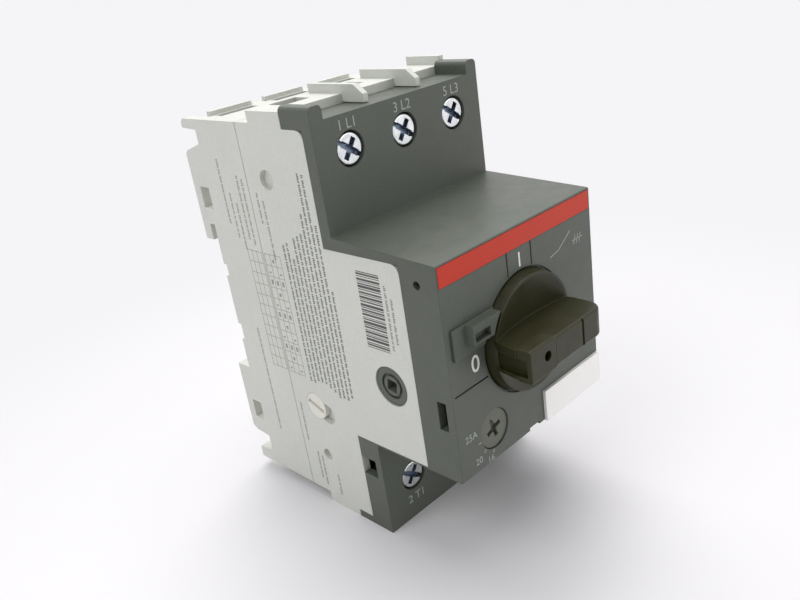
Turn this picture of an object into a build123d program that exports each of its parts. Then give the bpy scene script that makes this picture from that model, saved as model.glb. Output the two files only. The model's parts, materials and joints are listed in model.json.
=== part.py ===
from build123d import *
import math
import os

# Three-pole motor protection breaker with a rotary knob and screw terminals, for a 35 mm rail.
# Millimetres. +X is to the right seen from the front, +Y goes back to the rail, +Z is up.
# Everything is laid out from the front face (y = 0) and the foot (z = 0), and is moved at
# export so that the origin is at the middle of the bounding box's foot.

# Overall
width = 45.0             # the module width of the row of devices on the rail
height = 87.6            # foot to the top edge of the front cover
rail_seat = 65.5         # front face to the face that lies on the rail
lug_depth = 4.5          # side lugs behind the rail seat
wall = 1.8               # side walls
skin = 1.6               # other walls
seam = 0.15              # gap drawn between two shells
slip = 0.3               # clearance of sliding pieces
fit = 0.05               # radial clearance of shafts and threads

# Poles
outer_pole_inset = 8.3   # side face to the middle of the outer poles
partition = 1.2
half = width / 2
inner = half - wall
pole_pitch = half - outer_pole_inset
cell = pole_pitch - partition
poles = [-pole_pitch, 0.0, pole_pitch]

# Front cover
block_low = 22.2         # foot of the raised front block
block_high = 65.2        # top of the front block at the front face
ledge_rise = 1.3         # the ledge climbs by this towards the back
upper_face = 25.6        # face of the upper terminals
lower_face = 22.9        # face of the lower terminals
cover_back = 28.4        # back of the cover beside the terminals
toe_back = 33.0          # the cover's foot reaches back to here
side_edge = 8.8          # front edge of the light side walls
ledge_under = 64.0       # underside of the ledge, and top of the light side walls there
lip = 0.4                # cover's lip under the light side walls
ear_width = 3.1
ear_back = 34.2          # back of the cover's ears and of its top flange
ear_rise = 2.7
ear_under = height - 1.4
stripe_low = block_high - 4.2
stripe_high = block_high - 0.35
inlay = 0.2              # how far an inlay stands proud of its face
groove = 0.35
latch_window = ((1.8, 3.9), (32.8, 38.7))   # y and z of the windows in the side walls
snap_window = (24.6, (13.4, 17.6))          # front edge and z of the lower part's windows

# Housings
split = 49.0             # middle housing ends, rear base begins
lower_back = 28.8        # back of the cover's lower part
riser = 44.5             # step in the top behind the wire entries
riser_top = height + 1.7
roof = height - 0.6
foot_back = 43.0
foot_step = 2.3
corner = 2.0

# Fins on the roof, on the right of each pole, that reach forward over the cover's flange
fin_front = 28.2
fin_top = height + 3.5
fin_slope = 2.4          # the front top corner is cut back by this
fin_nose = 1.6           # height of the front edge under the slope
fin_thick = 1.3

# Terminals: a screw held in the housing lifts a cage that pulls the wire against the bar
upper_screw_z = 81.0
lower_screw_z = 10.0
head_r = 3.0
head_hole_r = 3.4
head_sink = 0.3
shank_r = 1.95
bar_gap = 8.9            # housing front wall to the terminal bar
bar_thick = 1.5
bar_half = 3.0
cage_inner = 3.4
cage_wall = 1.0
cage_nut = 2.0
cage_height = 8.4
wire_room = 5.0          # wire space in an open cage
nut_ahead = 2.5          # back of the cage's nut to the bar, cage open
terminal_wall = 1.0
entry_half = 3.3
entry_depth = 4.6

# Knob
knob_x = -0.5
knob_below_ledge = 20.9  # knob's axis under the top of the front block
knob_z = block_high - knob_below_ledge
knob_r = 12.0
knob_rim = 2.0
knob_draft = 0.5
grip_depth = 10.2
grip_half = 2.9
grip_left = 12.2
grip_right = 11.2
grip_nose_r = 3.2
grip_recess = 1.4        # depth of the recess in the grip's end
grip_groove_x = 3.3
dish = 1.3               # depth of the disc's hollow face
dish_rim = 0.5           # flat ring left around it
shaft_r = 3.5
shaft_end = 34.0
shaft_seat = -0.5        # the round shaft ends here, in the knob
shaft_socket = -6.0      # its square end goes on to here
cross_pin_r = 1.2
cross_pin_y = 32.0
cross_pin_start = 45.0   # degrees above +X, knob at 0
knob_swing = 90.0

# Lock slide in the grip
lock_width = 7.4
lock_half = 3.2
lock_room = 3.2          # depth of the slide's head
stem_half = 1.6
stem_end = 0.8
eye_width = 2.2

# Contact system
carrier_travel = 2.9
contact_gap = 3.0
bridge_low = 47.5
bridge_high = 67.5
bridge_y = 49.4
bridge_thick = 1.2
bridge_half = 2.5
tip = 0.9
tip_inset = 2.0
leg_thick = 1.4

# Magnetic release
coil_z = 38.0
coil_front = 45.0
coil_back = 59.0
coil_r = cell / 2 - 1.1
tube_r = coil_r * 0.57
armature_r = tube_r * 0.65
striker_r = armature_r / 2
plunger_travel = 2.0
yoke_thick = 1.2
yoke_top = coil_z + coil_r + 0.2 + yoke_thick

# Thermal release
strip_thick = 0.9
strip_width = 5.0
strip_y = 53.5
strip_high = 30.4
slide_z = 27.4
slide_high = 30.2
trip_stroke = 1.5

# Current dial
dial_x = -12.3
dial_z = 28.7
dial_r = 3.9
dial_head = (0.3, 2.6)
dial_stem_r = 1.6
arm_long = 2.0           # arms of the dial's cross slot

# Rail clip and lugs
rail_high = 63.5
rail_low = 28.5
rail_thick = 1.0
upper_lug_low = 60.2
upper_lug_high = 81.8
lower_lug_low = 9.9
lower_lug_high = 28.4
lug_width = 2.4
hook_slot = 1.7
lug_hole = 4.7
nose_back = 69.0
clip_half = 7.0
clip_thick = 3.0
clip_low = 6.0

# Accessory drive on the left side
hub_y = 15.6
hub_z = 38.2
hub_r = 4.2

seat_sink = 0.5          # the knob's disc lies this deep in the face
label_x = 3.0            # blank label plate, from here to the right edge
label_high = 29.0
test_slot_x = (-19.0, -14.0)
test_slot_z = (48.4, 50.2)
test_tab_z = (test_slot_z[0] - 1.4, test_slot_z[1] + 2.7)
test_tab_left = -half + 1.5
test_thumb_left = test_tab_left + 3.3
mech_wall = (27.4, 29.0)     # wall between the mechanism and the poles
back_wall = (62.0, 64.0)
hub_tube_r = 5.6         # carrier's tube around the shaft
carrier_bar = ((31.5, 34.5), (54.0, 61.0))
carrier_zone = (29.0, 38.0)
bar_pivot = (39.2, 46.5)     # trip bar's axis, y and z
trip_bar_r = 1.5
finger_thick = 1.3
slide_zone = (43.2, split)
plug_y = 41.4
plug_z = 25.6
plug_r = 3.1
thumb_r = 2.4            # recess that leads up to the plug
thumb_deep = 1.3
dimples = ((42.2, 76.0, 2.0), (40.8, 13.3, 1.3))    # y, z and radius
dimple_deep = 1.0
clip_front = 64.3
clip_back = clip_front + clip_thick
stop_half = 1.8
stop_z = (9.8, 11.3)
drive_arm = 8.2          # crank of the accessory drive
drive_pin_r = 1.0
drive_pin = (hub_y - carrier_travel / 2, hub_z + math.sqrt(drive_arm ** 2 - carrier_travel ** 2 / 4))
socket_side = 2.4
socket_deep = 2.0
boss_r = 2.1             # boss around the accessory socket
spring_room = 6.0
leg_y = bridge_y + bridge_thick + tip + contact_gap + tip
latch_pivot = (22.0, 54.0)
latch_x = (10.0, 12.0)
latch_tail = 9.0
latch_weight = 2.5       # block at the tail's end
latch_head = 7.0
latch_head_half = 2.2
lever_pivot = (-14.5, 38.0)  # compensation lever's axis, x and z
lever_y = (23.0, 25.0)
lever_half = 0.75
lever_pin_r = 1.0
latch_pin_r = 1.0
cage_floor = 1.6
strip_foot = foot_step + skin + 0.8
clip_pocket_top = 21.0
lock_x = (knob_x - grip_left, knob_x - grip_left + lock_width)
recess_z = (knob_z - 2.2, knob_z + 1.3)
stem_x = (lock_x[0] + grip_recess + 0.9, lock_x[1] - 0.6)

depth = rail_seat + lug_depth
mid_y = (depth - grip_depth) / 2

nodes = {}


def block(x, y, z):
    size = (x[1] - x[0], y[1] - y[0], z[1] - z[0])
    centre = ((x[0] + x[1]) / 2, (y[0] + y[1]) / 2, (z[0] + z[1]) / 2)
    return Pos(*centre) * Box(*size)


def rod_y(radius, x, z, y):
    return Pos(x, (y[0] + y[1]) / 2, z) * Rot(90, 0, 0) * Cylinder(radius, y[1] - y[0])


def rod_x(radius, y, z, x):
    return Pos((x[0] + x[1]) / 2, y, z) * Rot(0, 90, 0) * Cylinder(radius, x[1] - x[0])


def outline(points, rounded=(), radius=corner):
    """A closed flat outline, with the named corners rounded."""
    face = make_face(Polyline(*points, close=True))
    picked = [v for v in face.vertices() if any(math.dist((v.X, v.Y), p) < 0.01 for p in rounded)]
    return fillet(picked, radius) if picked else face


def side_prism(points, x, rounded=(), radius=corner):
    """A (y, z) outline drawn across the device from x[0] to x[1]."""
    plane = Plane(origin=(x[0], 0, 0), x_dir=(0, 1, 0), z_dir=(1, 0, 0))
    return extrude(plane * outline(points, rounded, radius), amount=x[1] - x[0])


def front_prism(points, y, rounded=(), radius=corner):
    """An (x, z) outline drawn from y[1] forward to y[0]."""
    plane = Plane(origin=(0, y[1], 0), x_dir=(1, 0, 0), z_dir=(0, -1, 0))
    return extrude(plane * outline(points, rounded, radius), amount=y[1] - y[0])


def coil_spring(radius, wire, x, z, y):
    """A compression spring along Y, as the tube that its turns fill."""
    return rod_y(radius, x, z, y) - rod_y(radius - wire, x, z, (y[0] - 1, y[1] + 1))


def add(name, shape):
    nodes[name] = shape


# Terminal stations, worked out once for both rows: face, screw height, and y of each piece
def station(face, screw_z, up):
    front = face + (cover_back - upper_face)
    bar = front + bar_gap
    return {"face": face, "z": screw_z, "up": up, "front": front, "bar": bar}


upper = station(upper_face, upper_screw_z, 1)
lower = station(lower_face, lower_screw_z, -1)
rows = {"upper": upper, "lower": lower}
entry_y = {name: (row["bar"] + bar_thick + slip, row["bar"] + bar_thick + slip + entry_depth)
           for name, row in rows.items()}
ledge_back = block_high + ledge_rise
lower_front = lower["front"]


def housing_outline(gap=0.0):
    """Side outline of the middle housing; the cover is cut with the same one, a gap larger."""
    g = gap
    toe = (toe_back + seam, skin + seam)
    return [(toe[0] - g, -g), (foot_back, -g), (foot_back, foot_step), (split, foot_step),
            (split, roof), (riser, roof), (riser, riser_top), (ear_back + g, riser_top + g),
            (ear_back + g, ear_under + g), (cover_back - g, ear_under + g),
            (cover_back - g, ledge_under + g), (side_edge - g, ledge_under + g),
            (side_edge - g, block_low + lip - g), (lower_back - g, block_low + lip - g),
            (lower_back - g, toe[1] - g), (toe[0] - g, toe[1] - g)]


def cell_box(x, y, z):
    return block((x - cell / 2, x + cell / 2), y, z)


def make_front_cover():
    # The full silhouette, less the light side panels, then hollowed
    body = side_prism([(0, block_low), (0, block_high), (upper_face, ledge_back),
                       (upper_face, height), (ear_back, height), (ear_back, ear_under),
                       (cover_back, ear_under), (cover_back, ledge_under),
                       (side_edge, ledge_under), (side_edge, block_low + lip),
                       (lower_back, block_low + lip), (lower_back, skin), (toe_back, skin),
                       (toe_back, 0), (lower_face, 0), (lower_face, block_low)], (-half, half))
    body += block((-half, -half + ear_width), (upper_face, ear_back), (ear_under, height + ear_rise))
    body += block((half - ear_width, half), (upper_face, ear_back), (ear_under, height + ear_rise))
    ears = [e for e in body.edges().filter_by(Axis.Y) if e.center().Z > height + ear_rise - 0.1]
    body = fillet(ears, 1.0)
    face_edges = [e for e in body.edges() if e.center().Y < 0.01 and abs(e.center().X) < half - 1]
    body = fillet(face_edges, 0.3)
    # Hollow of the front block, open to the back
    body -= block((-inner, inner), (skin, side_edge + 1), (block_low + lip, ledge_under - skin + 1.2))
    body += block((-inner + 0.1, inner - 0.1), (skin, lower_front), (block_low + lip, block_low + skin))
    # Lower terminal part: a face plate with side walls and a foot
    body -= block((-inner, inner), (lower_front, lower_back + 1), (skin, block_low + lip + 0.01))
    for name, row in rows.items():
        for x in poles:
            body -= rod_y(head_hole_r, x, row["z"], (row["face"] - 1, row["front"] + 1))
    # Knob seat and shaft hole, dial hole
    body -= rod_y(knob_r + slip, knob_x, knob_z, (-1, seat_sink))
    body -= rod_y(shaft_r + fit, knob_x, knob_z, (-1, skin + 1))
    body -= rod_y(dial_r + 0.15, dial_x, dial_z, (-1, skin + 1))
    # Grooves of the panel's fields
    for x in (knob_x - 3.8, knob_x + 3.3):
        body -= block((x - groove / 2, x + groove / 2), (-1, groove), (knob_z + knob_r, stripe_low))
    field = (knob_x - knob_r - 9.2, knob_x - knob_r)
    body -= block(field, (-1, groove), (knob_z - 4.4, knob_z - 4.4 + groove))
    # Inlay seats: stripe, label, and the notch beside the label
    body -= block((-half + 0.3, half - 0.3), (-1, inlay), (stripe_low, stripe_high))
    body -= block((label_x, half + 1), (-1, inlay), (block_low - 1, label_high))
    body -= block((label_x - 5.0, label_x - 1.6), (-1, 1.2), (block_low - 1, block_low + 0.8))
    # Bearing tube of the dial
    dial_tube = rod_y(dial_r + 1.2, dial_x, dial_z, (skin - 0.1, dial_head[1] + 1.3))
    dial_tube += rod_y(dial_stem_r + 1.6, dial_x, dial_z, (dial_head[1] + 1.2, 14.0))
    dial_tube -= rod_y(dial_stem_r + fit, dial_x, dial_z, (0, 15))
    body += dial_tube - rod_y(dial_r + 0.15, dial_x, dial_z, (-1, dial_head[1] + 0.1))
    # Slot for the test slide
    body -= block(test_slot_x, (-1, skin + 1), test_slot_z)
    # Latch windows in the side walls, a pin hole and the lower part's snap windows
    for side in (-1, 1):
        wall_x = sorted((side * (inner - 1), side * (half + 1)))
        body -= block(wall_x, latch_window[0], latch_window[1])
        body -= block(wall_x, (snap_window[0], lower_back + 1), snap_window[1])
    body -= rod_x(0.8, 4.8, stripe_low, (-half - 1, -inner + 1))
    return body


def rod_z(radius, x, y, z):
    return Pos(x, y, (z[0] + z[1]) / 2) * Cylinder(radius, z[1] - z[0])


def both_sides(x, y, z):
    """The same block on the right and on the left."""
    return block(x, y, z) + block((-x[1], -x[0]), y, z)


def make_middle_housing():
    body = side_prism(housing_outline(), (-half, half),
                      [(side_edge, ledge_under), (cover_back, ear_under)], corner)
    body += block((-inner + 0.1, inner - 0.1), (lower_front, lower_back + 1),
                  (skin + 0.1, block_low + lip + 1))
    # Room for the mechanism, open to the front
    body -= block((-inner, inner), (side_edge - 1, mech_wall[0]), (block_low + skin, ledge_under + 1))
    body -= block((-inner, inner), (side_edge - 1, lower_front), (-1, ledge_under))
    floor_z = foot_step + skin
    for x in poles:
        # One room for each pole, open to the back, and the ways in for screws and wires
        body -= cell_box(x, (upper["front"] + terminal_wall, split + 1), (ledge_back, roof - skin))
        body -= cell_box(x, (mech_wall[1], split + 1), (block_low + skin, ledge_back + 0.01))
        body -= cell_box(x, (lower_front + terminal_wall, split + 1), (floor_z, block_low + skin + 0.01))
        for row in rows.values():
            body -= rod_y(shank_r + slip, x, row["z"], (row["front"] - 1, row["front"] + 2))
    # Ways through the partitions for the pieces that span the poles
    across = (-inner, inner)
    body -= block(across, carrier_zone, (53.0, 62.2))
    bar_room = (bar_pivot[1] - 2.4, bar_pivot[1] + 2.4)
    body -= block(across, (mech_wall[1] - 0.1, bar_pivot[0] + 2.6), bar_room)
    body -= block(across, (slide_zone[0], split + 1), (slide_z - slip, slide_high + slip))
    # Windows in the mechanism wall: shaft and rocker, slide arm, latch finger
    wall_y = (mech_wall[0] - 1, mech_wall[1] + 1)
    body -= rod_y(hub_tube_r + slip, knob_x, knob_z, wall_y)
    body -= block((-inner + 0.7, -inner + 3.3), wall_y, bar_room)
    arm_room = (lever_pivot[0] - 2.9, lever_pivot[0] + 0.9)
    body -= block(arm_room, wall_y, (slide_z + 1.1, slide_high + 0.4))
    body -= block((latch_x[0] - 1.0, latch_x[1] + 1.0), wall_y, (45.4, 52.0))
    # Bearings of the trip bar in the side walls
    body -= rod_x(trip_bar_r + fit, *bar_pivot, (-inner - 0.8, inner + 0.8))
    # Fins between the poles and at the right side
    fin_foot = height + seam
    fin = [(fin_front, fin_foot), (fin_front, fin_foot + fin_nose), (fin_front + fin_slope, fin_top),
           (riser - 0.4, fin_top), (riser - 0.4, riser_top - 0.5), (ear_back + 1, riser_top - 0.5),
           (ear_back + 1, fin_foot)]
    for x in poles[:-1]:
        body += side_prism(fin, (x + pole_pitch / 2, x + pole_pitch / 2 + fin_thick))
    side_fin = [(ear_back + seam, riser_top - 0.5), (ear_back + seam, fin_top),
                (riser - 0.4, fin_top), (riser - 0.4, riser_top - 0.5)]
    body += side_prism(side_fin, (half - fin_thick, half))
    for x in poles:
        entry_x = (x - entry_half, x + entry_half)
        body -= block(entry_x, entry_y["upper"], (roof - skin - 1, riser_top + 1))
        body -= block(entry_x, entry_y["lower"], (-1, floor_z + 1))
    # Left side: hub port, plug seat, thumb recess, dimples and a shallow seam groove
    body -= rod_x(hub_r, hub_y, hub_z, (-half - 1, -inner + 1))
    body -= rod_x(plug_r + fit, plug_y, plug_z, (-half - 1, -inner + 1))
    recess_x = (-half - 1, -half + thumb_deep)
    body -= rod_x(thumb_r, plug_y - 3.4, plug_z - 0.9, recess_x)
    body -= rod_x(thumb_r, plug_y, plug_z, recess_x)
    for y, z, radius in dimples:
        body -= rod_x(radius, y, z, (-half - 1, -half + dimple_deep))
        body -= rod_x(radius, y, z, (half - dimple_deep, half + 1))
    return body


def make_rear_base():
    front = split + seam
    body = block((-half, half), (front, back_wall[1]), (foot_step, roof))
    body += block((-half, half), (back_wall[1] - 1, rail_seat), (lower_lug_high, upper_lug_low))
    for low, high in ((51.8, 54.7), (36.0, 40.0)):
        body -= block((-half - 1, half + 1), (rail_seat - 1, rail_seat + 1), (low, high))
    back = back_wall[1] - 0.1
    slot_top = rail_high + 0.4
    upper_lug = [(back, upper_lug_high), (depth - 0.8, upper_lug_high - 1.6),
                 (depth, upper_lug_high - 2.4), (depth, upper_lug_low),
                 (rail_seat + hook_slot, upper_lug_low),
                 (rail_seat + hook_slot, slot_top), (rail_seat, slot_top),
                 (rail_seat, upper_lug_low), (back, upper_lug_low)]
    lower_lug = [(back, lower_lug_high), (depth, lower_lug_high), (depth, lower_lug_low + 1.2),
                 (depth - 1.4, lower_lug_low + 0.3), (back, lower_lug_low)]
    upper_nose = [(back, roof), (nose_back - 0.7, roof), (nose_back, roof - 0.8),
                  (nose_back, roof - 1.9), (back, roof - 2.2)]
    lower_nose = [(back, foot_step), (nose_back, foot_step), (nose_back, foot_step + 2.8),
                  (back, foot_step + 3.2)]
    for x in ((-half, -half + lug_width), (half - lug_width, half)):
        for shape in (upper_lug, lower_lug, upper_nose, lower_nose):
            body += side_prism(shape, x)
        hole_x = (x[0] - 1, x[1] + 1)
        upper_middle = (upper_lug_low + upper_lug_high) / 2 - 1.0
        lower_middle = (lower_lug_low + lower_lug_high) / 2 - 2.5
        for middle in (upper_middle, lower_middle):
            hole_z = (middle - lug_hole / 2, middle + lug_hole / 2)
            body -= block(hole_x, (back_wall[1] + 0.3, depth - 2.4), hole_z)
    for x in poles:
        body -= cell_box(x, (front - 1, back_wall[0]), (foot_step + skin, roof - skin))
        # Gas vent in the roof, with a rib behind it
        body -= block((x - 4.6, x + 4.6), (58.6, 61.0), (roof - skin - 1, roof + 1))
        body += block((x - 5.2, x + 5.2), (61.8, 63.2), (roof - 0.1, roof + 0.9))
    # Guides of the rail clip, and the stop for its spring
    guide = (clip_half + slip, clip_half + slip + 2.0)
    lip_y = (clip_back + slip, clip_back + slip + 1.2)
    body += both_sides(guide, (back, lip_y[1]), (8.0, 26.0))
    body += both_sides((clip_half - 1.0, guide[0] + 0.1), lip_y, (8.0, 26.0))
    body += block((-stop_half, stop_half), (back, clip_front + 2.6), stop_z)
    return body


def make_knob():
    x, z = knob_x, knob_z
    disc = Pos(x, (seat_sink - 0.1 - knob_rim) / 2, z) * Rot(90, 0, 0) * Cone(
        knob_r, knob_r - knob_draft, knob_rim + seat_sink - 0.1)
    dish_r = knob_r - knob_draft - dish_rim
    ball_r = (dish_r ** 2 + dish ** 2) / (2 * dish)
    disc -= Pos(x, -knob_rim + dish - ball_r, z) * Sphere(ball_r)
    grip_z = (z - grip_half, z + grip_half)
    base = -0.5
    right_top = (x + grip_right, -grip_depth)
    outline_xy = [(x - knob_r + 0.9, base), (x - grip_left, -grip_depth + 3.4),
                  (x - grip_left, -grip_depth), right_top,
                  (x + grip_right, -knob_rim - 1.6), (x + grip_right - 1.8, base)]
    plane = Plane(origin=(0, 0, grip_z[0]))
    grip = extrude(plane * outline(outline_xy, [right_top], grip_nose_r), amount=2 * grip_half)
    rim = [e for e in grip.edges() if e.center().Y < -grip_depth + grip_nose_r + 0.1 and e.center().X > x]
    grip = fillet(rim, 0.6)
    body = disc + grip
    # Recess in the grip's end, and a fine groove across its front
    end = x - grip_left
    recess_y = (-grip_depth + lock_room - 0.1, -grip_depth + lock_room + 4.6)
    body -= block((end - 1, end + grip_recess), recess_y, recess_z)
    groove_x = (x + grip_groove_x, x + grip_groove_x + 0.7)
    body -= block(groove_x, (-grip_depth - 1, -grip_depth + groove), (z - 4, z + 4))
    # Seat of the lock slide at the pointer end, its guide hole, and the shaft's socket
    body -= block(lock_x, (-grip_depth - 1, -grip_depth + lock_room), (z - 4, z + 4))
    body -= block(stem_x, (-grip_depth, -stem_end), (z - stem_half - 0.1, z + stem_half + 0.1))
    body -= block((x - 3.0, x + 3.0), (shaft_socket, 0), (z - 1.9, z + 1.9))
    return body - rod_y(shaft_r, x, z, (shaft_seat, seat_sink))


def make_lock_slide():
    z = knob_z
    gap = 0.1
    back = -grip_depth + lock_room - gap
    head_z = (z - lock_half, z + lock_half)
    head = block((lock_x[0] + gap, lock_x[1] - gap), (-grip_depth, back), head_z)
    head = fillet(head.edges().filter_by(Axis.X).group_by(Axis.Y)[0], 0.5)
    stem_y = (back - 0.1, -stem_end - gap)
    stem = block((stem_x[0] + gap, stem_x[1] - gap), stem_y, (z - stem_half, z + stem_half))
    eye = (back + 0.6, back + 3.6)
    stem_x_mid = (stem_x[0] + stem_x[1]) / 2
    stem -= block((stem_x_mid - eye_width / 2, stem_x_mid + eye_width / 2), eye, (z - 4, z + 4))
    hole_x = (lock_x[0] + lock_x[1]) / 2 + 1.2
    head -= rod_y(1.0, hole_x, z + 0.4, (-grip_depth - 1, -grip_depth + 1.6))
    # The grip's recess goes on into the head
    end = (lock_x[0] - 1, lock_x[0] + grip_recess)
    return head + stem - block(end, (-grip_depth + 1.0, back + 1), recess_z)


def cross_pin(y, angle, radius, reach):
    """A pin through the shaft, square to it, at this angle above +X."""
    pin = Cylinder(radius, 2 * reach)
    return Pos(knob_x, y, knob_z) * Rot(0, -angle, 0) * Rot(0, 90, 0) * pin


def make_knob_shaft():
    shaft = rod_y(shaft_r, knob_x, knob_z, (shaft_seat, shaft_end))
    socket_z = (knob_z - 1.9, knob_z + 1.9)
    shaft += block((knob_x - 3.0, knob_x + 3.0), (shaft_socket, shaft_seat + 0.1), socket_z)
    shaft += rod_y(shaft_r + 1.4, knob_x, knob_z, (skin + 0.1, skin + 1.6))
    return shaft + cross_pin(cross_pin_y, cross_pin_start, cross_pin_r, hub_tube_r - slip)


def make_contact_carrier():
    bar_y, bar_z = carrier_bar
    carrier = block((-inner + 0.4, inner - 0.4), bar_y, bar_z)
    for x in poles:
        finger_z = (bar_z[0] + 0.2, bar_z[1] - 0.2)
        carrier += block((x - 3.6, x + 3.6), (bar_y[1] - 0.1, bridge_y + bridge_thick + 1.6), finger_z)
        window_x = (x - bridge_half - 0.1, x + bridge_half + 0.1)
        window_y = (bridge_y - spring_room, bridge_y + bridge_thick)
        carrier -= block(window_x, window_y, (bar_z[0] - 1, bar_z[1] + 1))
    # Tube around the shaft, with a web up to the bar and an arm to the accessory drive
    tube_y = (cross_pin_y - carrier_travel - 2.4, cross_pin_y + 2.0)
    carrier += block((knob_x - 2.2, knob_x + 2.2), (bar_y[0], tube_y[1]), (knob_z, bar_z[0] + 0.1))
    arm_z = (bar_pivot[1] - 2.0, bar_pivot[1] + 1.9)
    arm_x = (-inner + 1.2, -inner + 2.8)
    carrier += block((arm_x[0], knob_x), (tube_y[1] - 2.0, tube_y[1]), arm_z)
    carrier += block(arm_x, (drive_pin[0] - 3.0, tube_y[1]), arm_z)
    # The tube stops short of the arms, clear of the trip bar's middle finger
    carrier += rod_y(hub_tube_r, knob_x, knob_z, (tube_y[0], tube_y[1] - 0.4))
    carrier -= rod_y(shaft_r + fit, knob_x, knob_z, (tube_y[0] - 1, tube_y[1] + 1))
    # Helical slots that turn the knob's swing into the carrier's travel
    steps = 15
    for i in range(steps + 1):
        turned = knob_swing * i / steps
        y = cross_pin_y - carrier_travel * i / steps
        carrier -= cross_pin(y, cross_pin_start - turned, cross_pin_r + 0.12, hub_tube_r + 1.0)
    slot = (drive_pin[0] - drive_pin_r - 0.15, drive_pin[0] + drive_pin_r + 0.15)
    return carrier - block((arm_x[0] - 1, arm_x[1] + 1), slot, (arm_z[0] - 1, drive_pin[1] + 1.3))


def make_accessory_drive():
    hub = rod_x(hub_r - fit, hub_y, hub_z, (-half + 0.25, -inner + 0.3))
    hub += rod_x(hub_r + 1.0, hub_y, hub_z, (-inner + 0.05, -inner + 0.7))
    arm = block((-inner + 0.05, -inner + 0.7), (-1.4, 1.4), (0, drive_arm + 1.4))
    tilt = math.degrees(math.asin(carrier_travel / 2 / drive_arm))
    # A tail with a weight opposite the crank and its pin
    arm += block((-inner + 0.05, -inner + 0.7), (-1.4, 1.4), (-drive_arm - 1.4, 0))
    arm += block((-inner + 0.05, -inner + 0.7), (-3.2, 3.2), (-drive_arm - 1.4, -drive_arm + 1.4))
    hub += Pos(0, hub_y, hub_z) * Rot(tilt, 0, 0) * arm
    hub += rod_x(drive_pin_r, drive_pin[0], drive_pin[1], (-inner + 0.1, -inner + 2.8))
    boss = rod_x(boss_r, hub_y, hub_z, (-half + 0.25, -inner + 0.3))
    hub -= rod_x(boss_r + 0.6, hub_y, hub_z, (-half, -half + 0.8)) - boss
    socket = Pos(-half, hub_y, hub_z) * Rot(tilt, 0, 0) * Box(2 * socket_deep, socket_side, socket_side)
    return hub - socket


def make_bridge(x):
    y = (bridge_y, bridge_y + bridge_thick)
    bridge = block((x - bridge_half, x + bridge_half), y, (bridge_low, bridge_high))
    for z in (bridge_low + tip_inset, bridge_high - tip_inset):
        bridge += rod_y(1.9, x, z, (y[1] - 0.1, y[1] + tip))
    return bridge


def make_upper_bar(x):
    bar_y = (upper["bar"], upper["bar"] + bar_thick)
    shoulder = (ledge_back + 3.3, ledge_back + 8.6)
    bar = block((x - bar_half, x + bar_half), bar_y, (shoulder[0], upper["z"] + cage_height / 2))
    bar += block((x - cell / 2, x + cell / 2), bar_y, shoulder)
    run_x = (x - cell / 2 + 0.1, x - cell / 2 + 3.1)
    bar += block(run_x, (bar_y[0], leg_y + leg_thick), (shoulder[0], shoulder[0] + bar_thick))
    leg_z = (bridge_high - 4.2, shoulder[0] + bar_thick)
    bar += block((run_x[0], x + bar_half), (leg_y, leg_y + leg_thick), leg_z)
    return bar + rod_y(1.9, x, bridge_high - tip_inset, (leg_y - tip, leg_y + 0.1))


def make_lower_contact(x):
    foot = (yoke_top, yoke_top + 1.2)
    wide = (x - bar_half, x + bar_half)
    contact = block(wide, (leg_y, leg_y + leg_thick), (foot[0], bridge_low + 4.2))
    contact += block(wide, (coil_front + 3.5, leg_y + 0.1), foot)
    return contact + rod_y(1.9, x, bridge_low + tip_inset, (leg_y - tip, leg_y + 0.1))


def make_arc_plates(x):
    """Splitter plates of one pole, above the upper contacts, set into the partitions."""
    low = ledge_back + 3.3 + bar_thick + 1.2
    plates = []
    for i in range(5):
        y = upper["bar"] + bar_thick + 11.0 + 2.2 * i
        plate = block((x - cell / 2, x + cell / 2), (y, y + 1.0), (low, roof - skin - 0.4))
        notch = front_prism([(x - 2.6, low - 1), (x + 2.6, low - 1), (x, low + 5)], (y - 1, y + 2))
        plates.append(plate - notch)
    return plates


def make_yoke(x):
    x_span = (x - cell / 2, x + cell / 2)
    low = coil_z - coil_r - 0.2
    yoke = block(x_span, (coil_front - yoke_thick, coil_front), (low, yoke_top))
    yoke += block(x_span, (coil_back, coil_back + yoke_thick), (low, yoke_top))
    yoke += block(x_span, (coil_front - 0.1, coil_back + 0.1), (yoke_top - yoke_thick, yoke_top))
    return yoke - rod_y(striker_r + slip, x, coil_z, (coil_front - 3, coil_front + 1))


def make_bobbin(x):
    bobbin = rod_y(tube_r, x, coil_z, (coil_front, coil_back))
    bobbin += rod_y(coil_r, x, coil_z, (coil_front, coil_front + 0.8))
    bobbin += rod_y(coil_r, x, coil_z, (coil_back - 0.8, coil_back))
    bobbin -= rod_y(armature_r + slip, x, coil_z, (coil_front + 1.5, coil_back + 1))
    return bobbin - rod_y(striker_r + slip, x, coil_z, (coil_front - 1, coil_front + 2))


def make_coil(x):
    span = (coil_front + 0.8, coil_back - 0.8)
    coil = rod_y(coil_r - 0.3, x, coil_z, span) - rod_y(tube_r, x, coil_z, (span[0] - 1, span[1] + 1))
    # The wire's grooves between turns
    turns = 9
    pitch = (span[1] - span[0]) / turns
    for i in range(1, turns):
        y = span[0] + i * pitch
        ring = rod_y(coil_r + 1, x, coil_z, (y - 0.15, y + 0.15))
        coil -= ring - rod_y(coil_r - 0.8, x, coil_z, (y - 1, y + 1))
    return coil


def make_plunger(x):
    plunger = rod_y(armature_r, x, coil_z, (coil_front + 5.2, coil_back - 0.3))
    return plunger + rod_y(striker_r, x, coil_z, (coil_front - 3.4, coil_front + 5.3))


def make_plunger_spring(x):
    return coil_spring(striker_r + 0.9, 0.6, x, coil_z, (coil_front + 1.5, coil_front + 5.2))


def strip_x(x):
    return x - 1.5


def make_bimetal(x):
    centre = strip_x(x)
    span = (centre - strip_thick / 2, centre + strip_thick / 2)
    return block(span, (strip_y - strip_width / 2, strip_y + strip_width / 2), (strip_foot, strip_high))


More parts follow.
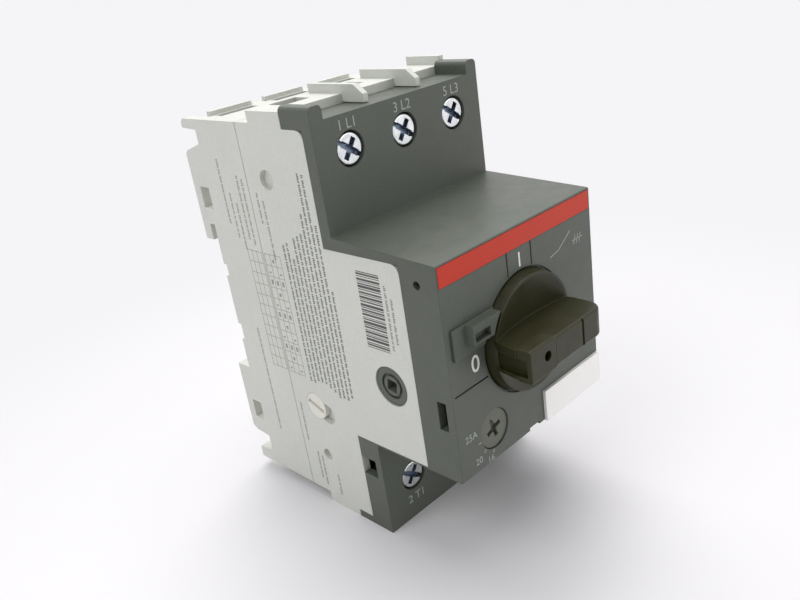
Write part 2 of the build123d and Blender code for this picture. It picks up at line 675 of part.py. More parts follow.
def make_heater(x):
    """The heating ribbon wound around the strip, a sleeve of turns."""
    centre = strip_x(x)
    core_x = (centre - strip_thick / 2, centre + strip_thick / 2)
    core_y = (strip_y - strip_width / 2, strip_y + strip_width / 2)
    first = strip_foot + 5.0
    turns = []
    for i in range(6):
        z = first + 2.0 * i
        outer = block((centre - 1.5, centre + 1.5), (strip_y - 3.6, strip_y + 3.6), (z, z + 1.3))
        turns.append(outer - block(core_x, core_y, (z - 1, z + 3)))
    link = block((centre + 1.2, centre + 1.8), (strip_y - 0.5, strip_y + 0.5), (first, first + 11.3))
    return sum(turns[1:], turns[0]) + link


def make_lower_bar(x):
    bar_y = (lower["bar"], lower["bar"] + bar_thick)
    shoulder = (lower["z"] + cage_height / 2 + 1.2, lower["z"] + cage_height / 2 + 6.0)
    tongue_z = (lower["z"] - cage_height / 2, shoulder[0] + 0.1)
    bar = block((x - bar_half, x + bar_half), bar_y, tongue_z)
    bar += block((x - cell / 2, x + cell / 2), bar_y, shoulder)
    drop_y = (strip_y - 7.4, strip_y - 7.4 + 1.4)
    bar += block((x - 2.0, x + 2.0), (bar_y[0], drop_y[1]), (shoulder[0], shoulder[0] + 1.4))
    bar += block((x - 2.0, x + 2.0), drop_y, (foot_step + skin, shoulder[0] + 1.4))
    centre = strip_x(x)
    foot_y = (drop_y[0], strip_y + strip_width / 2)
    foot = block((x - 3.6, x + 2.0), foot_y, (foot_step + skin, strip_foot + 2.4))
    slot = block((centre - strip_thick / 2, centre + strip_thick / 2),
                 (strip_y - strip_width / 2, strip_y + 4), (strip_foot, strip_foot + 5))
    return bar + foot - slot


def make_screw(row, x):
    head_y = (row["face"] + head_sink, row["front"])
    screw = rod_y(head_r, x, row["z"], head_y)
    screw = fillet(screw.edges().group_by(Axis.Y)[0], 0.3)
    screw += rod_y(shank_r, x, row["z"], (head_y[1] - 0.1, row["bar"]))
    cut_y = (head_y[0] - 1, head_y[0] + 1.3)
    cross = block((-2.2, 2.2), cut_y, (-0.6, 0.6)) + block((-0.6, 0.6), cut_y, (-2.2, 2.2))
    slot = block((-head_r - 1, head_r + 1), (cut_y[0], head_y[0] + 0.9), (-0.45, 0.45))
    return screw - Pos(x, 0, row["z"]) * Rot(0, 35, 0) * (cross + slot)


def make_cage(row, x):
    front = row["bar"] - nut_ahead - cage_nut
    back = row["bar"] + bar_thick + wire_room + cage_floor
    outer = cage_inner + cage_wall
    z = (row["z"] - cage_height / 2, row["z"] + cage_height / 2)
    cage = block((x - outer, x + outer), (front, back), z)
    room = (front + cage_nut, back - cage_floor)
    cage -= block((x - cage_inner, x + cage_inner), room, (z[0] - 1, z[1] + 1))
    return cage - rod_y(shank_r + fit, x, row["z"], (front - 1, front + cage_nut + 1))


def make_slide(z, finger_side):
    """One of the two slides that the bimetal strips push; finger_side is +1 or -1."""
    slide = block((-inner + 1.6, inner - 2.1), (slide_zone[0] + 0.4, slide_zone[0] + 5.0), z)
    free = slip if finger_side > 0 else trip_stroke + slip
    for x in poles:
        near = strip_x(x) + finger_side * (strip_thick / 2 + free)
        span = sorted((near, near + finger_side * 1.4))
        slide += block(span, (slide_zone[0] + 4.0, strip_y + 1.0), z)
    return slide


def make_trip_slide():
    slide = make_slide((slide_z + 1.5, slide_high), 1)
    arm_x = (lever_pivot[0] - lever_half - 0.3 - 1.4, lever_pivot[0] - lever_half - 0.3)
    return slide + block(arm_x, (lever_y[0], slide_zone[0] + 0.5), (slide_z + 1.5, slide_high))


def make_compensation_lever():
    x, z = lever_pivot
    reach = z - slide_z - 0.4
    lever = block((x - lever_half, x + lever_half), lever_y, (z - reach, z + reach))
    lever += rod_y(2.4, x, z, lever_y)
    return lever - rod_y(lever_pin_r + fit, x, z, (lever_y[0] - 1, lever_y[1] + 1))


def make_lever_pin():
    """The compensation lever's pin, with the collar that is pressed to the mechanism wall."""
    x, z = lever_pivot
    pin = rod_y(lever_pin_r, x, z, (lever_y[0] - 0.6, mech_wall[0] - 0.4))
    return pin + rod_y(lever_pin_r + 1.2, x, z, (lever_y[1] + 0.3, mech_wall[0]))


def make_trip_bar():
    y, z = bar_pivot
    bar = rod_x(trip_bar_r, y, z, (-inner - 0.7, inner + 0.7))
    finger_y = coil_front - 3.4 - plunger_travel - 0.1
    for x in poles:
        bar += block((x - 1.8, x + 1.8), (y, finger_y), (z - 2.0, z))
        bar += block((x - 1.8, x + 1.8), (finger_y - finger_thick, finger_y), (coil_z - 1.6, z))
    return bar + block(latch_x, (mech_wall[1] + 1.0, y), (z - 0.4, z + 1.0))


def make_latch():
    """A three-armed lever, balanced on its pin, so that a knock doesn't turn it."""
    y, z = latch_pivot
    bar_top = bar_pivot[1] + 1.0
    latch = rod_x(2.2, y, z, latch_x)
    tip_y = mech_wall[1] + 2.6
    latch += side_prism([(y - 1.6, z), (y + 1.6, z), (y + 4.0, bar_top + 2.6), (tip_y, bar_top + 2.0),
                         (tip_y, bar_top + slip), (y + 3.0, bar_top + slip)], latch_x)
    latch += block(latch_x, (y - latch_tail, y), (z - 0.8, z + 0.8))
    latch += block(latch_x, (y - latch_tail, y - latch_tail + latch_weight), (z - 2.2, z + 1.4))
    latch += block(latch_x, (y - latch_head_half, y + latch_head_half), (z, z + latch_head))
    return latch - rod_x(latch_pin_r + fit, y, z, (latch_x[0] - 1, latch_x[1] + 1))


def make_latch_pin():
    y, z = latch_pivot
    pin = rod_x(latch_pin_r, y, z, (latch_x[0] - 1.2, inner))
    pin += rod_x(latch_pin_r + 0.9, y, z, (latch_x[0] - 1.2, latch_x[0] - 0.2))
    return pin + rod_x(latch_pin_r + 0.9, y, z, (latch_x[1] + 0.2, inner))


def make_dial():
    dial = rod_y(dial_r, dial_x, dial_z, dial_head)
    dial += rod_y(dial_stem_r, dial_x, dial_z, (dial_head[1] - 0.1, 21.0))
    dial += rod_y(2.0, dial_x + 0.7, dial_z, (16.0, 19.0))
    y = (dial_head[0] - 1, dial_head[0] + 0.9)
    arms = block((dial_x - arm_long, dial_x + arm_long), y, (dial_z - 0.45, dial_z + 0.45))
    arms += block((dial_x - 0.45, dial_x + 0.45), y, (dial_z - arm_long, dial_z + arm_long))
    arms += front_prism([(dial_x - 0.9, dial_z), (dial_x, dial_z + 2.6), (dial_x + 0.9, dial_z)], y)
    return dial - Pos(dial_x, 0, dial_z) * Rot(0, -20, 0) * Pos(-dial_x, 0, -dial_z) * arms


def make_test_slide():
    """A low plate with a raised, slotted thumb piece beside the knob."""
    thumb_z = (test_tab_z[1] - 3.9, test_tab_z[1] - 0.2)
    tab = block((test_tab_left, knob_x), (-0.6, -0.1), test_tab_z)
    tab += block((test_thumb_left, knob_x), (-2.4, -0.5), thumb_z)
    tab -= rod_y(knob_r + 0.7, knob_x, knob_z, (-5, 1))
    slot_x = (test_thumb_left + 0.5, test_thumb_left + 4.6)
    tab -= block(slot_x, (-3, -1.0), (thumb_z[0] + 0.5, thumb_z[0] + 2.2))
    stem_z = (test_slot_z[0] + 0.2, test_slot_z[1] - 0.2)
    tab += block((test_slot_x[0] + 1.8, test_slot_x[1] - 0.2), (-0.2, skin + 0.2), stem_z)
    hook_x = (test_slot_x[0] + 0.8, test_slot_x[1] + 0.8)
    return tab + block(hook_x, (skin + 0.1, skin + 1.1), (test_slot_z[0] - 1, test_slot_z[1] + 1))


def make_side_plug():
    plug = rod_x(plug_r, plug_y, plug_z, (-half, -inner + 0.6))
    slot = Pos(-half, plug_y, plug_z) * Rot(20, 0, 0) * Box(1.6, 5.0, 0.9)
    return plug - slot


def make_rail_clip():
    clip = block((-clip_half, clip_half), (clip_front, clip_back), (clip_low, rail_low - 0.5))
    hook_y = (rail_seat + rail_thick + slip, clip_back + 1.5)
    hook_x = (-clip_half + 1.5, clip_half - 1.5)
    clip += block(hook_x, (clip_back - 0.1, hook_y[1]), (rail_low - 2.5, rail_low - 0.5))
    clip += block(hook_x, hook_y, (rail_low - 2.5, rail_low + 1.6))
    clip -= block((-stop_half - slip, stop_half + slip), (clip_front - 1, clip_front + 2.6 + slip),
                  (stop_z[0] - slip, clip_pocket_top))
    return clip - block((-3.0, 3.0), (clip_front - 1, clip_back + 1), (clip_low - 1, clip_low + 1.6))


def make_clip_spring():
    y = clip_front + 1.3
    z = (stop_z[1], clip_pocket_top)
    return rod_z(1.2, 0, y, z) - rod_z(0.7, 0, y, (z[0] - 1, z[1] + 1))


add("front_cover", make_front_cover())
add("middle_housing", make_middle_housing())
add("rear_base", make_rear_base())
stripe_z = (stripe_low + 0.05, stripe_high - 0.05)
add("stripe_plate", block((-half + 0.35, half - 0.35), (-0.05, inlay), stripe_z))
add("label_plate", block((label_x + 0.05, half), (-0.6, inlay), (block_low, label_high - 0.05)))
add("knob", make_knob())
add("lock_slide", make_lock_slide())
add("knob_shaft", make_knob_shaft())
add("contact_carrier", make_contact_carrier())
add("contact_bridges", Compound([make_bridge(x) for x in poles]))
spring_y = (bridge_y - spring_room, bridge_y)
add("contact_springs", Compound([coil_spring(1.9, 0.6, x, sum(carrier_bar[1]) / 2, spring_y) for x in poles]))
add("arc_plates", Compound([plate for x in poles for plate in make_arc_plates(x)]))
add("magnet_yokes", Compound([make_yoke(x) for x in poles]))
add("coil_bobbins", Compound([make_bobbin(x) for x in poles]))
add("magnet_coils", Compound([make_coil(x) for x in poles]))
add("heater_windings", Compound([make_heater(x) for x in poles]))
for number, x in enumerate(poles, 1):
    add(f"upper_bar_{number}", make_upper_bar(x))
    add(f"lower_contact_{number}", make_lower_contact(x))
    add(f"lower_bar_{number}", make_lower_bar(x))
    add(f"bimetal_{number}", make_bimetal(x))
    add(f"plunger_{number}", make_plunger(x))
    add(f"plunger_spring_{number}", make_plunger_spring(x))
    for name, row in rows.items():
        add(f"{name}_screw_{number}", make_screw(row, x))
        add(f"{name}_cage_{number}", make_cage(row, x))
add("trip_bar", make_trip_bar())
add("latch", make_latch())
add("latch_pin", make_latch_pin())
add("trip_slide", make_trip_slide())
add("phase_loss_slide", make_slide((slide_z, slide_z + 1.2), -1))
add("compensation_lever", make_compensation_lever())
add("lever_pin", make_lever_pin())
add("current_dial", make_dial())
add("test_slide", make_test_slide())
add("accessory_drive", make_accessory_drive())
add("side_plug", make_side_plug())
add("rail_clip", make_rail_clip())
add("rail_clip_spring", make_clip_spring())

os.makedirs("parts", exist_ok=True)
for name, shape in nodes.items():
    export_step(Pos(0, -mid_y, 0) * shape, f"parts/{name}.step")
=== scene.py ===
import json
import math

import bmesh
import bpy
from mathutils import Matrix, Vector


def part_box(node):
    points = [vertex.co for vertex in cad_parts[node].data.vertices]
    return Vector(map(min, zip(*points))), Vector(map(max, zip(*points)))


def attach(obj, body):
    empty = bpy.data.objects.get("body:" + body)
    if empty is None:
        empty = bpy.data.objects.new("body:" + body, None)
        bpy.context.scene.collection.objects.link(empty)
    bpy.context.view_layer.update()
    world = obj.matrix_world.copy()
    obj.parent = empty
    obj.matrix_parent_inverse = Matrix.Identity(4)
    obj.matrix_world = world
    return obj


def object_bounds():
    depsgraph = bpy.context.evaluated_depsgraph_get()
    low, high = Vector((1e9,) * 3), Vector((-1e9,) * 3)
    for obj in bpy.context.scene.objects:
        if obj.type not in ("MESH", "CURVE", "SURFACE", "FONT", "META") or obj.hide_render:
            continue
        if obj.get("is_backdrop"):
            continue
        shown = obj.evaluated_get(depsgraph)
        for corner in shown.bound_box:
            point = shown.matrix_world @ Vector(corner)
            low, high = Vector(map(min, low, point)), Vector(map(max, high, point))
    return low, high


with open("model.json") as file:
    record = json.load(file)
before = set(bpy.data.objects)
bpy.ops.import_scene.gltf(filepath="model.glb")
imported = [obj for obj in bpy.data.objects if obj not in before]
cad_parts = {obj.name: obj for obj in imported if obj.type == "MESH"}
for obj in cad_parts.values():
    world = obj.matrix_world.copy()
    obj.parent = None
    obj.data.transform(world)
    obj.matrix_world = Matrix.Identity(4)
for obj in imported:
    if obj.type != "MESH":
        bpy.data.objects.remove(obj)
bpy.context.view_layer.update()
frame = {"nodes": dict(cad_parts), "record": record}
nodes = frame["nodes"]

MM = 0.001
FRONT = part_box("front_cover")[0].y         # the front face of the cover, in metres
SIDE_X = -22.5                             # the left side, in millimetres
POLES = (-14.2, 0.0, 14.2)


def at(x, depth, z):
    """A point from x, its depth behind the cover's front face, and z, all in millimetres."""
    return Vector((x * MM, FRONT + depth * MM, z * MM))


# ---------------------------------------------------------------- shader nodes

NOISE_LOW, NOISE_HIGH = 0.3, 0.7           # most of a noise texture lies between these
SPECK_LOW, SPECK_HIGH = 0.38, 0.62         # the same for the finest specks, with a harder edge
HIGHLIGHT_START, HIGHLIGHT_FULL = 0.985, 0.80        # cosine between the rounded normal and the flat one, where the painted edge highlight starts and is full
HIGHLIGHT_SAMPLES, EDGE_SAMPLES = 6, 4
SPECK_DETAIL, BUMP_DETAIL, SOFT_DETAIL, FINE_DETAIL = 1.0, 2.0, 3.0, 4.0
WHITE = (1.0, 1.0, 1.0, 1)


def srgb(r, g, b):
    def lin(c):
        c /= 255
        return c / 12.92 if c <= 0.04045 else ((c + 0.055) / 1.055) ** 2.4
    return (lin(r), lin(g), lin(b), 1.0)


def scaled(colour, k):
    return tuple(min(1.0, c * k) for c in colour[:3]) + (1.0,)


def maths(tree, kind, operation, *sources):
    """The value of a Math or Vector Math node."""
    n = tree.nodes.new(kind)
    n.operation = operation
    for source, socket in zip(sources, n.inputs):
        tree.links.new(source, socket)
    return n.outputs["Value"]


def mixed_shader(tree, fac, first, second):
    """The first shader where fac is 0, the second where it is 1."""
    n = tree.nodes.new("ShaderNodeMixShader")
    for source, socket in zip((fac, first, second), n.inputs):
        tree.links.new(source, socket)
    return n.outputs[0]


class Mat:
    """A node material on a Principled shader, with small helpers for its parts."""

    def __init__(self, name, colour, rough, metal=0.0):
        self.m = bpy.data.materials.new(name)
        self.m.use_nodes = True
        self.t = self.m.node_tree
        self.b = self.t.nodes["Principled BSDF"]
        self.b.inputs["Base Color"].default_value = colour
        self.b.inputs["Roughness"].default_value = rough
        self.b.inputs["Metallic"].default_value = metal
        self.coords = self.node("ShaderNodeTexCoord").outputs["Object"]

    def node(self, kind, **inputs):
        n = self.t.nodes.new(kind)
        for key, value in inputs.items():
            n.inputs[key.replace("_", " ")].default_value = value
        return n

    def link(self, a, b):
        self.t.links.new(a, b)

    def noise(self, scale, detail, stretch=None):
        n = self.node("ShaderNodeTexNoise", Scale=scale, Detail=detail)
        source = self.coords
        if stretch:
            mapping = self.node("ShaderNodeMapping", Scale=stretch)
            self.link(source, mapping.inputs["Vector"])
            source = mapping.outputs["Vector"]
        self.link(source, n.inputs["Vector"])
        return n.outputs["Fac"]

    def ramp(self, fac, low, high, a, b):
        r = self.node("ShaderNodeValToRGB")
        first, last = r.color_ramp.elements[0], r.color_ramp.elements[1]
        first.position, last.position = low, high
        first.color, last.color = a, b
        self.link(fac, r.inputs["Fac"])
        return r.outputs["Color"]

    def map_range(self, value, **limits):
        n = self.node("ShaderNodeMapRange", **limits)
        self.link(value, n.inputs["Value"])
        return n.outputs["Result"]

    def mix(self, fac, a, b, kind="MIX"):
        n = self.t.nodes.new("ShaderNodeMix")
        n.data_type = "RGBA"
        n.blend_type = kind
        for value, socket in ((fac, n.inputs[0]), (a, n.inputs[6]), (b, n.inputs[7])):
            if hasattr(value, "is_linked"):
                self.link(value, socket)
            else:
                socket.default_value = value
        return n.outputs[2]

    def rounded(self, radius, samples):
        """The surface's normal, rounded over its edges."""
        bevel = self.node("ShaderNodeBevel", Radius=radius)
        bevel.samples = samples
        return bevel.outputs["Normal"]

    def cloudy(self, colour, scale, spread, stretch=None, detail=FINE_DETAIL):
        """The colour, made a little darker and paler from place to place."""
        return self.ramp(self.noise(scale, detail, stretch), NOISE_LOW, NOISE_HIGH,
                         scaled(colour, 1 - spread), scaled(colour, 1 + spread))

    def painted_edge_highlight(self, base, highlight_colour, radius):
        """The colour, with a painted highlight: paler along its outer edges."""
        flat = self.node("ShaderNodeNewGeometry").outputs["True Normal"]
        agree = maths(self.t, "ShaderNodeVectorMath", "DOT_PRODUCT",
                      self.rounded(radius, HIGHLIGHT_SAMPLES), flat)
        return self.mix(self.map_range(agree, From_Min=HIGHLIGHT_START, From_Max=HIGHLIGHT_FULL), base, highlight_colour)

    def colour_from(self, source):
        self.link(source, self.b.inputs["Base Color"])

    def vary_rough(self, rough, spread, scale, stretch=None):
        """Roughness that falls below and rises above its middle value by the two steps in spread."""
        uneven = self.map_range(self.noise(scale, FINE_DETAIL, stretch),
                                From_Min=NOISE_LOW, From_Max=NOISE_HIGH,
                                To_Min=rough - spread[0], To_Max=rough + spread[1])
        self.link(uneven, self.b.inputs["Roughness"])

    def bump(self, scale, distance, strength, stretch=None, edge=0.0):
        n = self.node("ShaderNodeBump", Strength=strength, Distance=distance)
        self.link(self.noise(scale, BUMP_DETAIL, stretch), n.inputs["Height"])
        if edge:
            self.link(self.rounded(edge, EDGE_SAMPLES), n.inputs["Normal"])
        self.link(n.outputs["Normal"], self.b.inputs["Normal"])


# ---------------------------------------------------------------- materials

PLASTIC_SPECULAR = 0.32
PLASTIC_GLOSS, METAL_GLOSS = (0.06, 0.08), (0.08, 0.12)     # how far roughness falls and rises
PLASTIC_BUMP, METAL_BUMP = 0.55, 0.4
CLOUDS, SPECKS, GLOSS = 70.0, 2600.0, 300.0      # scales of a moulded surface's noise
METAL_EDGE, METAL_TOOTH = 0.1 * MM, 0.01 * MM
SLOT_START, SLOT_FULL = 0.1 * MM, 0.7 * MM       # depths below a screw's face
SLOT_SHADE = (0.24, 0.29, 0.38, 1)
ZINC, ZINC_ROUGH = (0.66, 0.68, 0.69, 1), 0.30


def moulded(name, colour, rough, grain=1500.0, depth=0.03 * MM, spread=0.035, edge=0.22 * MM,
            fleck=0.93, highlight_gain=1.0):
    """Moulded plastic with a fine spark-eroded grain, cloudy colour and softened edges.

    fleck is the brightness of its darkest specks, and the last argument that of a painted highlight
    along its outer edges.
    """
    m = Mat(name, colour, rough)
    m.b.inputs["Specular IOR Level"].default_value = PLASTIC_SPECULAR
    cloud = m.cloudy(colour, CLOUDS, spread)
    speck = m.ramp(m.noise(SPECKS, SPECK_DETAIL), SPECK_LOW, SPECK_HIGH, (fleck, fleck, fleck, 1), WHITE)
    surface = m.mix(1.0, cloud, speck, "MULTIPLY")
    # A painted highlight: the outer edges are made paler, where light catches them
    if highlight_gain > 1.0:
        surface = m.painted_edge_highlight(surface, scaled(colour, highlight_gain), edge)
    m.colour_from(surface)
    m.vary_rough(rough, PLASTIC_GLOSS, GLOSS)
    m.bump(grain, depth, PLASTIC_BUMP, edge=edge)
    return m.m


def metal(name, colour, rough, stretch=None, scale=900.0, spread=0.08, head=None):
    """Bare or plated metal. For a screw, head is its face's own y, and its cross slot is darker."""
    m = Mat(name, colour, rough, 1.0)
    surface = m.cloudy(colour, scale, spread, stretch)
    if head is not None:
        split = m.node("ShaderNodeSeparateXYZ")
        m.link(m.coords, split.inputs[0])
        down = m.map_range(split.outputs["Y"], From_Min=head + SLOT_START, From_Max=head + SLOT_FULL)
        surface = m.mix(1.0, surface, m.mix(down, WHITE, SLOT_SHADE), "MULTIPLY")
    m.colour_from(surface)
    m.vary_rough(rough, METAL_GLOSS, scale / 2, stretch)
    m.bump(scale, METAL_TOOTH, METAL_BUMP, stretch, METAL_EDGE)
    return m.m


cover = moulded("cover_grey", srgb(83, 88, 80), 0.42)
housing = moulded("housing_grey", srgb(202, 204, 197), 0.55, spread=0.02, fleck=0.955)
# The knob gets a painted highlight along its edges
knob_black = moulded("knob_black", srgb(39, 39, 15), 0.40, grain=1200.0, depth=0.02 * MM,
                     spread=0.06, highlight_gain=3.2)
dial_grey = moulded("dial_grey", srgb(98, 100, 90), 0.45)
inner_black = moulded("inner_plastic", srgb(56, 56, 60), 0.5)
white_plastic = moulded("white_plastic", srgb(220, 219, 210), 0.45, spread=0.02)
stripe_red = moulded("stripe_red", srgb(190, 44, 14), 0.36, grain=2200.0, depth=0.01 * MM,
                     spread=0.03, edge=0.1 * MM)
label_white = moulded("label_white", srgb(244, 242, 240), 0.42, grain=2400.0, depth=0.01 * MM,
                      spread=0.01, edge=0.1 * MM, fleck=0.985)
zinc = metal("zinc_steel", ZINC, ZINC_ROUGH)
spring_steel = metal("spring_steel", (0.45, 0.45, 0.46, 1), 0.32, (1, 1, 6))
iron = metal("soft_iron", (0.28, 0.28, 0.29, 1), 0.5, (1, 1, 3), 500.0, 0.15)
copper = metal("copper", (0.80, 0.42, 0.28, 1), 0.33, (4, 1, 1))
wire = metal("enamelled_wire", (0.52, 0.20, 0.08, 1), 0.28, (1, 1, 8), 700.0, 0.12)
bimetal = metal("bimetal", (0.58, 0.55, 0.48, 1), 0.36, (5, 5, 1))

by_slot = {"cover_grey": cover, "housing_grey": housing, "stripe_red": stripe_red,
           "label_white": label_white, "knob_black": knob_black, "inner_plastic": inner_black,
           "white_plastic": white_plastic, "zinc_steel": zinc, "spring_steel": spring_steel,
           "soft_iron": iron, "copper": copper, "enamelled_wire": wire, "bimetal": bimetal}
# Nodes with a material of their own
own = {"current_dial": dial_grey, "accessory_drive": cover}
for row in ("upper", "lower"):
    head = min(v.co.y for v in nodes[row + "_screw_1"].data.vertices)
    plated = metal(row + "_screw_zinc", ZINC, ZINC_ROUGH, head=head)
    own.update({f"{row}_screw_{pole}": plated for pole in (1, 2, 3)})
for part in frame["record"]["subparts"]:
    node = nodes[part["node"]]
    node.data.materials.clear()
    node.data.materials.append(own.get(part["node"], by_slot[part["material_slot"]]))


# ---------------------------------------------------------------- printed marks

INK = 0.03 * MM            # thickness of a printed mark
INK_ROUGH = 0.5
INK_GLOSS, INK_SPREAD, INK_BUMP = (0.05, 0.1), 0.05, 0.3
INK_CLOUDS, INK_SHEEN, INK_TOOTH = 900.0, 700.0, 3000.0     # scales of its noise
CAP_HEIGHT = 0.70          # a capital's height in the font's own size
ROUND_STEPS = 6            # in the half circle at a stroke's end
CORNER = 0.06              # clipped off a printed block's corners, in mm

# Each face's own axes: across it, up it, and out of it
FACES = {"front": (Vector((1, 0, 0)), Vector((0, 0, 1)), Vector((0, -1, 0))),
         "left": (Vector((0, -1, 0)), Vector((0, 0, 1)), Vector((-1, 0, 0)))}


def ink(name, colour):
    """Printed ink: a little uneven in density, with a faint tooth."""
    m = Mat(name, colour, INK_ROUGH)
    m.colour_from(m.cloudy(colour, INK_CLOUDS, INK_SPREAD))
    m.vary_rough(INK_ROUGH, INK_GLOSS, INK_SHEEN)
    m.bump(INK_TOOTH, 0.005 * MM, INK_BUMP)
    return m.m


white_ink = ink("white_ink", srgb(226, 228, 222))
pale_ink = ink("pale_ink", srgb(150, 154, 148))
black_ink = ink("black_ink", srgb(66, 66, 68))
dark_ink = ink("dark_ink", srgb(96, 97, 97))
grey_ink = ink("grey_ink", srgb(136, 136, 134))


def place(mesh, name, origin, face, material):
    """Set a mark on a face of the housing, half of its thickness above the surface."""
    across, up, out = FACES[face]
    basis = Matrix((across, up, out)).transposed().to_4x4()
    mesh.transform(Matrix.Translation(origin - out * INK * 0.5) @ basis)
    mesh.update()
    piece = bpy.data.objects.new(name, mesh)
    bpy.context.scene.collection.objects.link(piece)
    piece.data.materials.clear()
    piece.data.materials.append(material)
    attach(piece, "housing")


def words(name, text, height, origin, material, bold=0.0):
    """A generic mark on the front, such as 0 or I, centred on origin. Its height is in mm."""
    curve = bpy.data.curves.new(name, "FONT")
    curve.body = text
    curve.size = height * MM / CAP_HEIGHT
    curve.align_x, curve.align_y = "CENTER", "CENTER"
    curve.extrude = INK / 2
    curve.offset = bold * MM
    holder = bpy.data.objects.new(name + "_text", curve)
    bpy.context.scene.collection.objects.link(holder)
    bpy.context.view_layer.update()
    mesh = bpy.data.meshes.new_from_object(holder.evaluated_get(bpy.context.evaluated_depsgraph_get()))
    mesh.name = name
    mesh.transform(Matrix.Translation((0, 0, INK / 2)))
    bpy.data.objects.remove(holder)
    place(mesh, name, origin, "front", material)


def slabs(name, outlines):
    """A mesh of flat blocks as thick as the ink. Each outline is a list of points in mm."""
    mesh = bpy.data.meshes.new(name)
    bm = bmesh.new()
    for points in outlines:
        low = [bm.verts.new((x * MM, y * MM, 0)) for x, y in points]
        high = [bm.verts.new((x * MM, y * MM, INK)) for x, y in points]
        bm.faces.new(high)
        bm.faces.new(low[::-1])
        for i in range(len(points)):
            j = (i + 1) % len(points)
            bm.faces.new((low[i], low[j], high[j], high[i]))
    bm.to_mesh(mesh)
    bm.free()
    return mesh


def half_circle(x, y, radius, start):
    steps = [start + math.pi * k / ROUND_STEPS for k in range(ROUND_STEPS + 1)]
    return [(x + radius * math.cos(a), y + radius * math.sin(a)) for a in steps]


def strokes(name, runs, width, material):
    """Lines printed on the front, with rounded ends. Each run is a list of points in mm."""
    outlines = []
    for run in runs:
        for (ax, ay), (bx, by) in zip(run, run[1:]):
            angle = math.atan2(by - ay, bx - ax)
            outlines.append(half_circle(ax, ay, width / 2, angle + math.pi / 2)
                            + half_circle(bx, by, width / 2, angle - math.pi / 2))
    place(slabs(name, outlines), name, at(0, 0, 0), "front", material)


def side_mark(name, spans, material):
    """Blocks printed on the left side. Each span is (across low, high, up low, high) in mm."""
    outlines = []
    for a0, a1, b0, b1 in spans:
        cut = min(CORNER, (a1 - a0) / 4, (b1 - b0) / 4)
        outlines.append([(a0 + cut, b0), (a1 - cut, b0), (a1, b0 + cut), (a1, b1 - cut),
                         (a1 - cut, b1), (a0 + cut, b1), (a0, b1 - cut), (a0, b0 + cut)])
    place(slabs(name, outlines), name, at(SIDE_X, 0, 0), "left", material)


# ---------------------------------------------------------------- marks on the front

DIAL_X, DIAL_Z = -12.3, 28.7
DIAL_MARKS = (("25A", -18.9, 30.3), ("20", -17.5, 24.4), ("16", -14.2, 23.0))
ON_PRINT, OFF_PRINT, DIAL_PRINT, TERMINAL_PRINT = 2.9, 3.3, 1.4, 1.9     # heights of the print
SYMBOL_LINE, TICK_LINE = 0.22, 0.25        # widths of the lines
TICK_ANGLES = (-170, -136, -102)
TICK_IN, TICK_OUT = 4.3, 4.8               # radii
UPPER_DEPTH, UPPER_Z = 25.6, 85.6          # the terminal faces' names
LOWER_DEPTH, LOWER_Z = 22.9, 4.6

words("mark_on", "I", ON_PRINT, at(-0.7, 0, 58.4), white_ink)
words("mark_off", "0", OFF_PRINT, at(-15.5, 0, 43.9), white_ink, bold=0.03)

# A rising curve, and a line with three slashes: a circuit of three phases
rising = [(8.6, 55.4), (11.4, 56.0), (15.4, 58.6)]
circuit = [(16.1, 56.25), (19.4, 56.25)]
phases = [[(x, 55.4), (x + 0.6, 57.1)] for x in (16.5, 17.4, 18.3)]
strokes("trip_symbol", [rising, circuit] + phases, SYMBOL_LINE, pale_ink)

for text, x, z in DIAL_MARKS:
    words("dial_" + text, text, DIAL_PRINT, at(x, 0, z), pale_ink)
ticks = []
for degrees in TICK_ANGLES:
    a = math.radians(degrees)
    ticks.append([(DIAL_X + r * math.cos(a), DIAL_Z + r * math.sin(a)) for r in (TICK_IN, TICK_OUT)])
strokes("dial_ticks", ticks, TICK_LINE, pale_ink)

for index, x in enumerate(POLES):
    words(f"terminal_upper_{index + 1}", f"{2 * index + 1} L{index + 1}", TERMINAL_PRINT,
          at(x, UPPER_DEPTH, UPPER_Z), pale_ink)
    words(f"terminal_lower_{index + 1}", f"{2 * index + 2} T{index + 1}", TERMINAL_PRINT,
          at(x, LOWER_DEPTH, LOWER_Z), pale_ink)


# ---------------------------------------------------------------- marks on the left side
# All of them are plain: bars, columns of short dashes for small print, and a ruled table

DASH_LONG, DASH_SHORTER = 0.62, 0.16       # a dash's length, and what a short one lacks
DASH_THICK, DASH_STEP, GROUP_GAP = 0.27, 0.38, 0.26


def column_of_dashes(depth, top, low, seed):
    """Short dashes in uneven groups, as small print looks from afar."""
    dashes = []
    z, k = top, seed
    while z > low:
        k = (k * 37 + 11) % 101
        for dash in range(2 + k % 5):
            short = DASH_SHORTER if (k + 5 * dash) % 3 == 0 else 0.0
            dashes.append((-depth - DASH_LONG / 2, -depth + DASH_LONG / 2 - short, z - DASH_THICK, z))
            z -= DASH_STEP
        z -= GROUP_GAP
    return dashes


def small_print(name, rows, material):
    """Columns of dashes. Each row gives a column's depth, top, low end and seed."""
    side_mark(name, [dash for row in rows for dash in column_of_dashes(*row)], material)


BARS_LOW, BARS_HIGH = 45.6, 61.2
BARS_ACROSS = (-20.3, -14.2)
BAR_THICKS = (0.14, 0.34, 0.18, 0.52, 0.26, 0.12, 0.42)
BAR_GAPS = (0.26, 0.18, 0.34, 0.22, 0.16)
plain_bars = []
z, step = BARS_LOW, 0
while z < BARS_HIGH:
    thick = BAR_THICKS[step % len(BAR_THICKS)]
    plain_bars.append((*BARS_ACROSS, z, z + thick))
    z += thick + BAR_GAPS[step % len(BAR_GAPS)]
    step += 1
side_mark("side_bars", plain_bars, black_ink)

